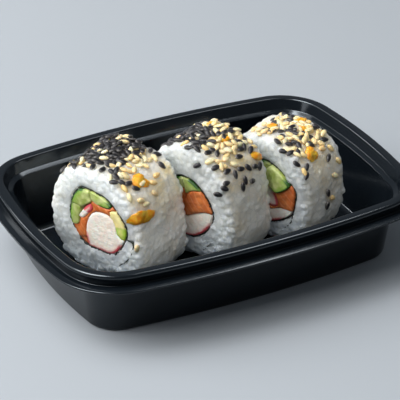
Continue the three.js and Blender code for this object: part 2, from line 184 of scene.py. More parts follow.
# Light: a big soft panel high on the left and behind with a brighter middle, a low lamp behind on
# the left for the floor and the food, three at the left and the front for the food alone, three
# that glint on the tray's edges alone, and a dim room that is paler at the back.
lamps = {
    "panel": {"at": (-0.76, 0.30, 1.15), "size": 1.7, "power": 21.0, "falls": "everything"},
    "middle": {"at": (-0.66, 0.28, 1.15), "size": 0.5, "power": 4.5, "falls": "everything"},
    "low": {"at": (-0.80, 0.50, 0.38), "size": 0.5, "power": 2.6, "falls": "matt"},
    "front": {"at": (-0.82, -0.50, 0.60), "size": 0.3, "power": 3.6, "falls": "foremost"},
    "side": {"at": (-0.94, -0.24, 0.60), "size": 0.3, "power": 1.2, "falls": "others"},
    "shoulder": {"at": (-0.14, -0.71, 1.08), "size": 0.5, "power": 3.6, "falls": "food"},
    "glint": {"at": (-0.42, 0.26, 1.25), "size": 0.6, "power": 18.0, "falls": "moulding"},
    "farGlint": {"at": (0.54, 0.33, 1.13), "size": 0.35, "power": 3.0, "falls": "moulding"},
    "endGlint": {"at": (-0.60, 0.91, 0.50), "size": 0.2, "power": 1.4, "falls": "moulding"},
}
room = {"colour": (0.80, 0.87, 0.94), "front": 0.14, "back": 0.24, "from": -0.2, "to": 0.9}
groups = {name: bpy.data.collections.new(name)
          for name in ("matt", "food", "foremost", "others", "moulding")}


def makeLights():
    for name, facts in lamps.items():
        data = bpy.data.lights.new(name, "AREA")
        data.shape = "SQUARE"
        data.size = facts["size"]
        data.energy = facts["power"]
        lamp = newObject(name, data)
        lamp.location = facts["at"]
        lamp.rotation_euler = (-Vector(facts["at"])).to_track_quat("-Z", "Y").to_euler()
        if facts["falls"] in groups:
            lamp.light_linking.receiver_collection = groups[facts["falls"]]
    world = bpy.data.worlds.new("room")
    board = emptyBoard(world)
    back = board.part(board.add("ShaderNodeTexCoord"), 1)
    rise = board.ramp(back, room["from"], room["to"]) * (room["back"] - room["front"])
    sky = board.add("ShaderNodeBackground", {}, {
        "Color": (*room["colour"], 1.0), "Strength": rise + room["front"]})
    board.add("ShaderNodeOutputWorld", {}, {"Surface": sky})
    scene.world = world
    scene.view_settings.view_transform = "Standard"


# Every piece moves with the tray and stands for a node of the solid where it has one. The foremost
# food has a lamp of its own.
def dress(piece, slot, node=None):
    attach(piece, "root")
    if node:
        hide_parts(node)
    near = node and (node.startswith("roll_1") or node == "roll_3_cucumber_top")
    food = ("matt", "food", "foremost" if near else "others")
    for name in ("moulding",) if slot == "tray" else food:
        groups[name].objects.link(piece)


ground = {
    "size": 6.0,
    "tones": ((0.525, 0.565, 0.605), (0.545, 0.585, 0.625)),
    "mottle": 3.0,
    "roughness": 0.75,
}


def makeFloor():
    bpy.ops.mesh.primitive_plane_add(size=ground["size"])
    floor = bpy.context.object
    floor.name = "floor"
    board, where = newMaterial("pale floor")
    colour = board.mix(board.noise(where, ground["mottle"]), *ground["tones"])
    coat(floor, board.surface(colour, ground["roughness"]))
    groups["matt"].objects.link(floor)


makeCamera()
makeLights()
makeFloor()
print("stage set")


# Tray: one moulded wall swept round an outline of arcs. Section points are millimetres outward
# from the bead's edge and millimetres up, each with the radius that rounds it.
tray = {
    "beadHalfLength": 83.5,
    "beadHalfWidth": 58.6,
    "longSideRadius": 499.0,
    "shortSideRadius": 246.0,
    "cornerRadius": 24.8,
    "arcSteps": {"short": 10, "corner": 16, "long": 16},
    "roundSteps": 4,
    "roundShare": 0.48,  # the most of an edge that one rounding takes
    "floor": 1.2,  # where the rolls stand
    "tones": ((0.0028, 0.0042, 0.0060), (0.0042, 0.0060, 0.0082)),
    "roughness": 0.1,
    "cloudiness": 0.04,
    "cloudScale": 40.0,
    "grainScale": 2600.0,
}
traySection = [
    (-14.7, 0.0, 0.5), (-11.35, 0.05, 3.3), (-7.8, 26.3, 0.6), (-6.3, 27.3, 0.4), (-4.6, 32.0, 0.3),
    (-1.0, 32.0, 0.3), (-1.9, 27.4, 0.3), (3.9, 27.1, 0.35), (4.0, 27.95, 0.4), (1.4, 28.35, 0.35),
    (-0.95, 28.1, 0.35), (0.05, 33.0, 1.3), (-4.45, 33.0, 0.9), (-6.5, 28.5, 0.5),
    (-8.6, 27.5, 0.5), (-12.7, 0.9, 4.4), (-18.0, 0.9, 0.4),
]


def trayArcs():
    longCentre = tray["beadHalfWidth"] - tray["longSideRadius"]
    shortCentre = tray["beadHalfLength"] - tray["shortSideRadius"]
    fromLong = tray["longSideRadius"] - tray["cornerRadius"]
    fromShort = tray["shortSideRadius"] - tray["cornerRadius"]
    x = tray["beadHalfLength"] - tray["cornerRadius"]
    for _ in range(40):  # settles on the corner centre, where both sides' arcs pass on smoothly
        y = longCentre + math.sqrt(fromLong ** 2 - x ** 2)
        x = shortCentre + math.sqrt(fromShort ** 2 - y ** 2)
    shortEnd = math.atan2(y, x - shortCentre)
    longEnd = math.atan2(y - longCentre, x)
    steps = tray["arcSteps"]
    return [
        (shortCentre, 0.0, tray["shortSideRadius"], 0.0, shortEnd, steps["short"]),
        (x, y, tray["cornerRadius"], shortEnd, longEnd, steps["corner"]),
        (0.0, longCentre, tray["longSideRadius"], longEnd, math.pi / 2, steps["long"]),
    ]


def trayRing(arcs, outward, height):
    quarter = []
    for x, y, radius, start, end, steps in arcs:
        for step in range(steps):
            angle = start + (end - start) * step / steps
            quarter.append((x + (radius + outward) * math.cos(angle),
                            y + (radius + outward) * math.sin(angle)))
    upper = quarter + [(0.0, tray["beadHalfWidth"] + outward)]
    upper += [(-x, y) for x, y in reversed(quarter[1:])]
    left = [(-tray["beadHalfLength"] - outward, 0.0)]
    lower = [(x, -y) for x, y in reversed(upper[1:])]
    return [Vector((x, y, height)) * mm for x, y in upper + left + lower]


def roundedPath(points, steps):  # an open line with its inner corners rounded
    path = [Vector(points[0][:2])]
    for before, point, after in zip(points, points[1:], points[2:]):
        corner = Vector(point[:2])
        back = Vector(before[:2]) - corner
        ahead = Vector(after[:2]) - corner
        reach = min(point[2] / math.tan(back.angle(ahead) / 2), back.length * tray["roundShare"],
                    ahead.length * tray["roundShare"])
        start = corner + back.normalized() * reach
        end = corner + ahead.normalized() * reach
        for step in range(steps + 1):
            t = step / steps
            path.append(start * (1 - t) ** 2 + corner * 2 * t * (1 - t) + end * t ** 2)
    path.append(Vector(points[-1][:2]))
    return path


def meshObject(name, points, faces):
    mesh = bpy.data.meshes.new(name)
    mesh.from_pydata(points, [], faces)
    mesh.validate()
    mesh.shade_smooth()
    return newObject(name, mesh)


def pointOutwards(obj):
    work = bmesh.new()
    work.from_mesh(obj.data)
    bmesh.ops.remove_doubles(work, verts=work.verts, dist=0.0001 * mm)
    bmesh.ops.recalc_face_normals(work, faces=work.faces)
    work.to_mesh(obj.data)
    work.free()


def ringFaces(rows, count, closed=False):  # quads between rows of points that close into rings
    faces = []
    for row in range(rows if closed else rows - 1):
        here, there = row * count, (row + 1) % rows * count
        for i in range(count):
            j = (i + 1) % count
            faces.append((here + i, here + j, there + j, there + i))
    return faces


def trayPlastic():
    board, where = newMaterial("black moulded plastic")
    cloudy = board.noise(where, tray["cloudScale"], 3.0)
    colour = board.mix(cloudy, *tray["tones"])
    roughness = board.ramp(cloudy, 0.3, 0.7) * tray["cloudiness"] + tray["roughness"]
    # Specular Tint colours the reflections blue: a painted tint for the bluish light the plastic
    # reflects.
    others = {"IOR": 1.49, "Specular Tint": (0.84, 0.93, 1.0, 1.0)}
    return board.surface(colour, roughness, board.noise(where, tray["grainScale"]), strength=0.06,
                         depth=0.0001, others=others)


def makeTray():
    arcs = trayArcs()
    path = roundedPath(traySection, tray["roundSteps"])
    rings = [trayRing(arcs, outward, height) for outward, height in path]
    count = len(rings[0])
    points = [point for ring in rings for point in ring]
    faces = ringFaces(len(rings), count)
    for ring in (0, len(rings) - 1):  # the underside and the floor inside
        middle = len(points)
        points.append(Vector((0.0, 0.0, rings[ring][0].z)))
        faces += [(ring * count + i, ring * count + (i + 1) % count, middle) for i in range(count)]
    piece = meshObject("mouldedTray", points, faces)
    coat(piece, trayPlastic())
    pointOutwards(piece)
    dress(piece, "tray", "tray")


makeTray()
print("tray moulded")


# Rolls. Millimetres and degrees. The ring is the line of the nori round the fillings on the cut
# face, as (right, up) from the roll's centre, and the tail is the nori's free edge in the rice.
rolls = [
    {
        "name": "roll_1",
        "at": (-37.2, 6.5),
        "turn": 27.0,
        "half": (23.2, 24.6),
        "thickness": 33.8,
        "squareness": 2.5,
        "footSquareness": 3.2,
        "slump": 0.19,
        "ring": [(-7.2, 14.8), (-11.4, 7.4), (-12.1, 0), (-9.2, -6.4), (-5, -11), (3.6, -11.9),
                 (10.2, -11.6), (15, -5.6), (17.2, 1), (13.4, 8), (7.6, 13.2), (-1, 15.4)],
        "tail": [(16.6, -1.8), (19.8, -2.4), (19.4, -7.8), (16.2, -13), (10.4, -17.8)],
        "seed": 3,
    },
    {
        "name": "roll_2",
        "at": (2.6, 0.6),
        "turn": 25.0,
        "half": (22.6, 26.0),
        "thickness": 28.6,
        "squareness": 2.35,
        "footSquareness": 3.1,
        "slump": 0.17,
        "ring": [(0.6, 11.5), (6.4, 8.4), (10.4, 3.6), (13.3, -1.6), (12.4, -6.6), (8.8, -12),
                 (3, -15.8), (-5, -15.4), (-11.6, -9.4), (-13.2, -1), (-10.8, 7), (-5.4, 11)],
        "tail": [(12.3, -7.0), (13.8, -10.4), (12.4, -15.4), (8.6, -20.2)],
        "seed": 5,
    },
    {
        "name": "roll_3",
        "at": (38.6, -1.4),
        "turn": 26.0,
        "half": (23.0, 24.0),
        "thickness": 28.2,
        "squareness": 2.45,
        "footSquareness": 3.1,
        "slump": 0.04,
        "ring": [(-0.8, 13.9), (6, 11.8), (11.2, 8.2), (15, 4), (15.2, -2), (13.9, -8),
                 (9.6, -11.9), (4.6, -14.6), (-1, -16), (-8, -13.8), (-12.8, -7), (-13.2, 2),
                 (-8.4, 10.6)],
        "tail": [(14.2, -7.4), (13.6, -11.4), (10.4, -15.6), (6.4, -19.4)],
        "seed": 8,
    },
]
slump = {"towards": -48, "sharpness": 3}  # how a roll bulges at its foot


def rollMatrix(roll):  # from the roll's own axes: along it, to the far left, up
    place = Vector((*roll["at"], tray["floor"])) * mm
    return Matrix.Translation(place) @ Matrix.Rotation(math.radians(roll["turn"]), 4, "Z")


def rollSection(roll, angle, inset):  # the roll's outer line, as (right, up)
    c, s = math.cos(angle), math.sin(angle)
    power = 2 / roll["footSquareness" if c > 0 > s else "squareness"]
    right = (roll["half"][0] - inset) * math.copysign(abs(c) ** power, c)
    up = (roll["half"][1] - inset) * math.copysign(abs(s) ** power, s)
    toSlump = math.cos(math.atan2(up, right) - math.radians(slump["towards"]))
    swell = 1 + roll["slump"] * max(0.0, toSlump) ** slump["sharpness"]
    return right * swell, max(up * swell, inset - roll["half"][1])


def smoothCurve(points, stepsEach, closed=True):  # centripetal curve through the points
    corners = [np.array(point, float) for point in points]
    if not closed:
        corners = [2 * corners[0] - corners[1], *corners, 2 * corners[-1] - corners[-2]]
    line = []
    for i in range(len(corners) if closed else len(corners) - 3):
        four = [corners[(i + k) % len(corners)] for k in range(4)]
        knots = [0.0]
        for here, there in zip(four, four[1:]):
            knots.append(knots[-1] + np.linalg.norm(there - here) ** 0.5)
        for t in np.linspace(knots[1], knots[2], stepsEach, endpoint=False):
            spots = four
            for start, end in ((0, 1), (0, 2), (1, 2)):
                spots = [((b - t) * spots[k] + (t - a) * spots[k + 1]) / (b - a)
                         for k, (a, b) in enumerate(zip(knots[start:], knots[end:]))
                         if k + 1 < len(spots)]
            line.append(spots[0])
    if not closed:
        line.append(corners[-2])
    return np.array(line)


def paint(obj, name, values):  # an attribute with a number or a vector for each vertex
    values = np.asarray(values, np.float32)
    kind, field = ("FLOAT", "value") if values.ndim == 1 else ("FLOAT_VECTOR", "vector")
    layer = obj.data.attributes.get(name) or obj.data.attributes.new(name, kind, "POINT")
    layer.data.foreach_set(field, values.ravel())


def vertexArray(obj):
    flat = np.empty(len(obj.data.vertices) * 3, np.float32)
    obj.data.vertices.foreach_get("co", flat)
    return flat.reshape(-1, 3).astype(float)


def setVertices(obj, places):
    obj.data.vertices.foreach_set("co", np.asarray(places, np.float32).ravel())
    obj.data.update()


def noiseArray(places, scale, shift):
    shift = Vector((shift, 0, 0))
    return np.array([noise.noise(Vector(place) * scale + shift) for place in places])


def applied(obj, name):  # the evaluated object as a plain mesh under a new name
    bpy.context.view_layer.update()
    graph = bpy.context.evaluated_depsgraph_get()
    mesh = bpy.data.meshes.new_from_object(obj.evaluated_get(graph), depsgraph=graph)
    mesh.name = name
    return newObject(name, mesh)


def remeshed(obj, name, voxel, smoothing):
    remesh = obj.modifiers.new("remesh", "REMESH")
    remesh.mode = "VOXEL"
    remesh.voxel_size = voxel * mm
    remesh.use_smooth_shade = True
    smooth = obj.modifiers.new("smooth", "SMOOTH")
    smooth.factor = 0.5
    smooth.iterations = smoothing
    result = applied(obj, name)
    result.data.shade_smooth()
    return result


def keepMainPart(obj):  # drops loose crumbs and bubbles, all but the part with most vertices
    shell = bmesh.new()
    shell.from_mesh(obj.data)
    left = set(shell.verts)
    parts = []
    while left:
        part = [left.pop()]
        for vertex in part:
            near = {edge.other_vert(vertex) for edge in vertex.link_edges} & left
            left -= near
            part += near
        parts.append(part)
    parts.sort(key=len)
    crumbs = [vertex for part in parts[:-1] for vertex in part]
    bmesh.ops.delete(shell, geom=crumbs, context="VERTS")
    shell.to_mesh(obj.data)
    shell.free()


def discard(*objects):
    for obj in objects:
        bpy.data.objects.remove(obj)


def joined(name, objects):
    with bpy.context.temp_override(active_object=objects[0], selected_editable_objects=objects):
        bpy.ops.object.join()
    objects[0].name = name
    objects[0].data.name = name
    return objects[0]


# Rice: grains laid over a plain core and melted together. The core lies a little deep, so that the
# grains stand out to the full size.
rice = {
    "aroundSteps": 96,
    "sideSteps": 5,
    "edgeSteps": 6,
    "faceRings": ((0.3, 1.0), (0.6, 1.0), (0.85, 0.9), (0.97, 0.0)),  # way to the bore, grain cover
    "inset": 0.3,
    "endInset": 0.24,
    "edgeRound": 4.2,
    "barrel": 0.5,
    "drawIn": {"length": 22.0, "depth": 2.4, "fade": 2.2},  # of the right side at the near end
    "bore": {"clear": 0.15, "steps": 8, "lip": 0.8, "waist": 0.6},
    "thinWall": 3.0,  # a thinner wall carries no grains
    "grain": (4.6, 3.2, 2.9),
    "sizes": (0.85, 1.15),
    "spacing": 2.3,
    "lift": 0.35,
    "sink": {"side": 1.3, "edge": 0.35, "face": 1.15},
    "loose": {"side": 0.12, "edge": 0.4, "face": 0.2},
    "edgeBand": {"middle": 0.6, "reach": 0.4},
    "unevenness": {"depth": 0.6, "scale": 0.16, "stride": 17.0},
    "voxel": 0.41,
    "smoothing": 4,
    "foot": -0.1,
    # stain: a warmer tint round each roll's upper right shoulder, partly the rice's own tone and
    # partly painted warm light from the food
    "stain": {"round": 52, "reach": 34},
    "cut": {"depth": 4.0, "fade": 3.0},
}


def onSection(roll, places):  # the angle round the roll of places in the roll's own axes
    power = roll["squareness"] / 2
    x = -places[:, 1] / roll["half"][0]
    y = (places[:, 2] - roll["half"][1]) / roll["half"][1]
    return np.degrees(np.arctan2(np.sign(y) * np.abs(y) ** power, np.sign(x) * np.abs(x) ** power))


def boreLine(roll, turns):  # where the rice ends at the nori, for each turn round the roll
    ring = smoothCurve(roll["ring"], rice["bore"]["steps"])
    centre = ring.mean(axis=0)
    away = ring - centre
    angles = np.arctan2(away[:, 1], away[:, 0])
    reaches = np.hypot(away[:, 0], away[:, 1]) + rice["bore"]["clear"]
    order = np.argsort(angles)
    line = []
    for turn in turns:
        right, up = rollSection(roll, turn, rice["inset"])
        angle = math.atan2(up - centre[1], right - centre[0])
        reach = np.interp(angle, angles[order], reaches[order], period=2 * math.pi)
        line.append((centre[0] + reach * math.cos(angle), centre[1] + reach * math.sin(angle)))
    return line


def riceStations(end):  # (along, depth, share of the way to the bore, grain cover, share of face)
    inset, rounding, bore = rice["inset"], rice["edgeRound"], rice["bore"]
    last = rice["edgeSteps"] - 1
    sideStep = (end - rounding) / (rice["sideSteps"] - 0.5)  # half of one at the edge
    half = [(sideStep * step, inset, 0.0, 1.0, 0.0) for step in range(rice["sideSteps"])]
    for step in range(rice["edgeSteps"]):
        turn = math.radians(90 * step / last)
        half.append((end - rounding * (1 - math.sin(turn)), inset + rounding * (1 - math.cos(turn)),
                     0.0, 1.0, math.sin(turn)))
    deep = inset + rounding
    half += [(end, deep, share, grains, 1.0) for share, grains in rice["faceRings"]]
    half += [(end - bore["lip"], deep, 1.0, 0.0, 1.0), (end * bore["waist"], deep, 1.0, 0.0, 0.0)]
    return half + [(-station[0], *station[1:]) for station in reversed(half)]


def riceCore(roll):  # a ring of rice round the nori, as a closed grid of loops
    turns = [2 * math.pi * i / rice["aroundSteps"] for i in range(rice["aroundSteps"])]
    bore = boreLine(roll, turns)
    end = roll["thickness"] / 2 - rice["endInset"]
    stations = riceStations(end)
    drawIn, uneven = rice["drawIn"], rice["unevenness"]
    seedShift = Vector((roll["seed"] * uneven["stride"], 0.0, 0.0))
    points = []
    cover = []
    onFace = []
    for along, depth, share, grains, facing in stations:
        depth += rice["barrel"] * (along / end) ** 2
        drawn = max(0.0, 1 - (end + along) / drawIn["length"]) ** 2
        for turn, (boreRight, boreUp) in zip(turns, bore):
            sideways = min(1.0, max(0.0, math.cos(turn) * drawIn["fade"]))
            right, up = rollSection(roll, turn, depth + drawIn["depth"] * drawn * sideways)
            wall = math.hypot(boreRight - right, boreUp - up)
            right += (boreRight - right) * share
            up += (boreUp - up) * share
            point = Vector((along, -right, roll["half"][1] + up))
            push = noise.noise_vector(point * uneven["scale"] + seedShift) * uneven["depth"]
            points.append((point + push) * mm)
            cover.append(grains if wall > rice["thinWall"] else 0.0)
            onFace.append(facing)
    faces = ringFaces(len(stations), len(turns), closed=True)
    core = meshObject(roll["name"] + "Core", points, faces)
    facing = np.array(onFace)
    band = rice["edgeBand"]
    edge = np.clip(1 - np.abs(facing - band["middle"]) / band["reach"], 0, 1)
    paint(core, "cover", cover)
    for name, amount, unit in (("settle", rice["sink"], mm), ("loose", rice["loose"], 1.0)):
        flat = amount["side"] * (1 - facing) + amount["face"] * facing
        paint(core, name, (flat * (1 - edge) + amount["edge"] * edge) * unit)
    pointOutwards(core)
    return core


def pipMesh(name, size, taper=0.0, around=8, rings=5):  # a plump grain or seed along X
    length, width, thick = size
    points = [Vector((-length / 2, 0, 0))]
    for ring in range(1, rings + 1):
        along = -math.cos(math.pi * ring / (rings + 1))
        fat = math.sqrt(max(0.0, 1 - along ** 2)) * (1 - taper * (along + 1) / 2)
        for i in range(around):
            angle = 2 * math.pi * i / around
            points.append(Vector((along * length / 2, fat * width / 2 * math.cos(angle),
                                  fat * thick / 2 * math.sin(angle))))
    points.append(Vector((length / 2, 0, 0)))
    last = len(points) - 1
    faces = []
    for i in range(around):
        j = (i + 1) % around
        faces.append((0, 1 + j, 1 + i))
        for ring in range(rings - 1):
            a = 1 + ring * around
            faces.append((a + i, a + j, a + around + j, a + around + i))
        a = 1 + (rings - 1) * around
        faces.append((a + i, a + j, last))
    obj = meshObject(name, [point * mm for point in points], faces)
    pointOutwards(obj)
    return obj


# A tree that lays copies of one small thing over a surface, flat on it and turned at random. The
# surface's attributes say how much of it is covered, how deep the things sink, how loosely they
# lie and of which kind they are: a thing is taken where its dice plus the share lies between Kind
# Low and Kind High.
scatterInputs = {
    "Surface": "Geometry", "Thing": "Object", "Finish": "Material", "Spacing": "Float",
    "Lift": "Float", "Size Low": "Float", "Size High": "Float", "Seed": "Int",
    "Kind Low": "Float", "Kind High": "Float", "Keep Surface": "Bool",
}
mostDense = 4e6  # per square metre, so that the spacing decides
# the seed of each random draw
draws = {"tiltX": 5, "tiltY": 6, "spin": 7, "lift": 8, "size": 9, "kind": 11, "tone": 13}


def buildScatterTree():
    tree = bpy.data.node_groups.new("lay over surface", "GeometryNodeTree")
    tree.is_modifier = True
    for name, kind in scatterInputs.items():
        tree.interface.new_socket(name=name, in_out="INPUT", socket_type="NodeSocket" + kind)
    tree.interface.new_socket(name="Result", in_out="OUTPUT", socket_type="NodeSocketGeometry")
    board = Board(tree)
    given = tree.nodes.new("NodeGroupInput")
    wire = {name: Wire(board, given.outputs[name]) for name in scatterInputs}

    def painted(name):
        return board.add("GeometryNodeInputNamedAttribute", {"data_type": "FLOAT"}, {"Name": name})

    def dice(draw, low=0.0, high=1.0):
        return board.add("FunctionNodeRandomValue", {"data_type": "FLOAT"}, {
            2: low, 3: high, "Seed": draws[draw]}, output=1)

    def compare(operation, first, second):
        return board.add("FunctionNodeCompare", {"operation": operation}, {0: first, 1: second})

    points = board.add("GeometryNodeDistributePointsOnFaces", {"distribute_method": "POISSON"}, {
        "Mesh": wire["Surface"], "Distance Min": wire["Spacing"], "Density Max": mostDense,
        "Density Factor": painted("cover"), "Seed": wire["Seed"]})
    stand = Wire(board, points.socket.node.outputs["Rotation"])
    euler = board.add("ShaderNodeCombineXYZ", {}, {
        "X": dice("tiltX", -1.0) * painted("loose"), "Y": dice("tiltY", -1.0) * painted("loose"),
        "Z": dice("spin", 0.0, 2 * math.pi)})
    turn = board.add("FunctionNodeEulerToRotation", {}, {"Euler": euler})
    facing = board.add("FunctionNodeRotateRotation", {"rotation_space": "LOCAL"}, {
        "Rotation": stand, "Rotate By": turn})
    height = dice("lift") * wire["Lift"] - painted("settle")
    out = board.add("ShaderNodeCombineXYZ", {}, {"Z": height})
    push = board.add("FunctionNodeRotateVector", {}, {"Vector": out, "Rotation": stand})
    placed = board.add("GeometryNodeSetPosition", {}, {"Geometry": points, "Offset": push})
    kind = dice("kind") + painted("share")
    chosen = board.add("FunctionNodeBooleanMath", {"operation": "AND"}, {
        0: compare("GREATER_EQUAL", kind, wire["Kind Low"]),
        1: compare("LESS_THAN", kind, wire["Kind High"])})
    thing = board.add("GeometryNodeObjectInfo", {}, {"Object": wire["Thing"]}, output=4)
    copies = board.add("GeometryNodeInstanceOnPoints", {}, {
        "Points": placed, "Selection": chosen, "Instance": thing, "Rotation": facing,
        "Scale": dice("size", wire["Size Low"], wire["Size High"])})
    toned = board.add("GeometryNodeStoreNamedAttribute", {"domain": "INSTANCE"}, {
        "Geometry": copies, "Name": "tone", "Value": dice("tone")})
    real = board.add("GeometryNodeRealizeInstances", {}, {"Geometry": toned})
    kept = board.add("GeometryNodeSwitch", {"input_type": "GEOMETRY"}, {
        "Switch": wire["Keep Surface"], "True": wire["Surface"]})
    together = tree.nodes.new("GeometryNodeJoinGeometry")
    for part in (real, kept):
        tree.links.new(part.socket, together.inputs[0])
    finished = board.add("GeometryNodeSetMaterial", {}, {
        "Geometry": Wire(board, together.outputs[0]), "Material": wire["Finish"]})
    board.add("NodeGroupOutput", {}, {"Result": finished})
    return tree


scatterTree = buildScatterTree()


def scatter(surface, name, values):
    modifier = surface.modifiers.new("lay over surface", "NODES")
    modifier.node_group = scatterTree
    identifiers = {item.name: item.identifier for item in scatterTree.interface.items_tree
                   if item.in_out == "INPUT"}
    for key, value in values.items():
        modifier[identifiers[key]] = value
    result = applied(surface, name)
    surface.modifiers.remove(modifier)
    return result


def riceFinish():
    board, where = newMaterial("moist sushi rice")
    grainScale = 330.0
    tone = board.add("ShaderNodeSeparateColor", {}, {
        "Color": board.cells(where, grainScale, output=1)})
    # Painted shade: lowShade makes the rice cooler and greyer towards the bottom, a little on the
    # outer rice and most on the cut face.
    lowShade = board.ramp(board.part(where, 2) + board.noise(where, 160.0, 3.0) * 0.012, 0.032, 0.008)
    steeped = board.ramp(board.noise(where, 75.0), 0.46, 0.62)
    # Partly painted warm light: stain warms the outer rice round the upper right shoulder, partly
    # the rice's own warmer tone.
    stain = board.attribute("stain") * board.ramp(board.noise(where, 110.0), 0.38, 0.62)
    outer = board.mix(tone, (0.80, 0.785, 0.72), (0.87, 0.86, 0.80))
    outer = board.mix(steeped * 0.5, outer, (0.80, 0.70, 0.53))
    outer = board.mix(stain * 0.8, outer, (0.90, 0.72, 0.38))
    outer = board.mix(lowShade * 0.4, outer, (0.68, 0.74, 0.76))
    inner = board.mix(tone, (0.66, 0.695, 0.685), (0.75, 0.775, 0.75))
    inner = board.mix(lowShade, inner, (0.44, 0.50, 0.55))
    colour = board.mix(board.attribute("cut"), outer, inner)
    # Painted shade: the mask darkens the rice in the creases between the grains, and also sinks
    # them in the bump.
    crease = board.cells(where, grainScale, {"feature": "DISTANCE_TO_EDGE"})
    between = board.ramp(crease, 0.09, 0.0)
    colour = board.mix(between * 0.35, colour, (0.52, 0.54, 0.52))
    relief = board.noise(where, 900.0) * 0.4 - between
    return board.surface(colour, 0.32, relief, strength=0.24, soft=0.9, bleed=(1.0, 0.95, 0.85),
                         reach=0.008, others={"Specular IOR Level": 0.4})


riceMaterial = riceFinish()
grainModel = pipMesh("grainModel", rice["grain"])


def makeRice(roll, core):
    grains = scatter(core, roll["name"] + "Grains", {
        "Thing": grainModel, "Finish": riceMaterial, "Spacing": rice["spacing"] * mm,
        "Lift": rice["lift"] * mm, "Size Low": rice["sizes"][0], "Size High": rice["sizes"][1],
        "Seed": roll["seed"], "Kind Low": -1.0, "Kind High": 3.0, "Keep Surface": True})
    block = remeshed(grains, roll["name"] + "Rice", rice["voxel"], rice["smoothing"])
    keepMainPart(block)
    places = vertexArray(block)
    places[:, 2] = np.maximum(places[:, 2], rice["foot"] * mm)
    setVertices(block, places)
    own = places / mm
    stain, cut = rice["stain"], rice["cut"]
    fromWarmTint = (onSection(roll, own) - stain["round"]) / stain["reach"]
    fromEnd = roll["thickness"] / 2 - np.abs(own[:, 0])
    paint(block, "stain", np.exp(-fromWarmTint ** 2))
    paint(block, "cut", np.clip((cut["depth"] - fromEnd) / cut["fade"], 0, 1))
    block.data.transform(rollMatrix(roll))
    coat(block, riceMaterial)
    dress(block, "rice", roll["name"] + "_rice")
    discard(grains)
    return block


cores = [riceCore(roll) for roll in rolls]
riceBlocks = [makeRice(roll, core) for roll, core in zip(rolls, cores)]
discard(grainModel)
riceTrees = {roll["name"]: BVHTree.FromObject(block, bpy.context.evaluated_depsgraph_get())
             for roll, block in zip(rolls, riceBlocks)}
print("rice packed:", [len(block.data.polygons) for block in riceBlocks])


# Nori: a thin sheet wound once round the fillings, with its free edge running out into the rice.
nori = {
    "thickness": 0.4,
    "ringSteps": 18,
    "tailSteps": 10,
    "rowLength": 2.4,
    "recess": 0.35,
    "tailRecess": 0.15,
    "ripple": {"depth": 0.2, "across": 0.5, "along": 3},
    "rag": {"depth": 0.9, "across": 1.1, "along": 9},
}


def noriFinish():
    board, where = newMaterial("nori")
    patch = board.patches(where, 200.0, 2.0)
    colour = board.mix(patch, (0.006, 0.009, 0.006), (0.016, 0.022, 0.011))
    return board.surface(colour, 0.42, board.noise(where, 900.0, 4.0, 0.7), strength=0.5)


def sheetThrough(roll, outline, reach):  # a bar with this face outline, ragged at its ends
    rows = max(4, round(2 * reach / nori["rowLength"]))
    ripple, rag = nori["ripple"], nori["rag"]
    points = []
    for row in range(rows + 1):
        t = -1 + 2 * row / rows
        for right, up in outline:
            shake, tear = (Vector((right * part["across"], up * part["across"],
                                   t * part["along"] + roll["seed"])) for part in (ripple, rag))
            along = t * (reach + (noise.noise(tear) * rag["depth"] if abs(t) == 1 else 0.0))
            push = noise.noise_vector(shake) * ripple["depth"]
            points.append(Vector((along, -right + push.x, roll["half"][1] + up + push.y)) * mm)
    return points, rows


def squareTo(ahead):  # unit vectors at right angles to a line's direction
    side = np.stack([ahead[:, 1], -ahead[:, 0]], axis=1)
    return side / np.linalg.norm(side, axis=1)[:, None]


def makeNori(roll, material):
    half = nori["thickness"] / 2
    end = roll["thickness"] / 2
    ring = smoothCurve(roll["ring"], nori["ringSteps"])
    side = squareTo(np.roll(ring, -1, axis=0) - np.roll(ring, 1, axis=0))
    if ((ring - ring.mean(axis=0)) * side).sum() < 0:
        side = -side
    outer, rows = sheetThrough(roll, ring + side * half, end - nori["recess"])
    inner, rows = sheetThrough(roll, ring - side * half, end - nori["recess"])
    count, shift = len(ring), len(outer)
    faces = ringFaces(rows + 1, count)
    faces += [tuple(shift + i for i in reversed(face)) for face in faces]
    for row in (0, rows):
        for i in range(count):
            a, b = row * count + i, row * count + (i + 1) % count
            faces.append((a, b, shift + b, shift + a))
    band = meshObject(roll["name"] + "Band", outer + inner, faces)
    tail = smoothCurve(roll["tail"], nori["tailSteps"], closed=False)
    side = squareTo(np.gradient(tail, axis=0)) * half
    outline = np.concatenate([tail + side, (tail - side)[::-1]])
    points, rows = sheetThrough(roll, outline, end - nori["tailRecess"])
    count = len(outline)
    faces = ringFaces(rows + 1, count)
    for row in (0, rows):  # both ends of the strip are closed by a ladder of quads
        for i in range(count // 2 - 1):
            a, b = row * count + i, (row + 1) * count - 1 - i
            faces.append((a, a + 1, b - 1, b))
    strip = meshObject(roll["name"] + "Strip", points, faces)
    for part in (band, strip):
        pointOutwards(part)
    sheet = joined(roll["name"] + "Nori", [band, strip])
    sheet.data.transform(rollMatrix(roll))
    coat(sheet, material)
    sheet.data.shade_smooth()
    dress(sheet, "nori", roll["name"] + "_nori")


noriMaterial = noriFinish()
for roll in rolls:
    makeNori(roll, noriMaterial)
print("nori wound")


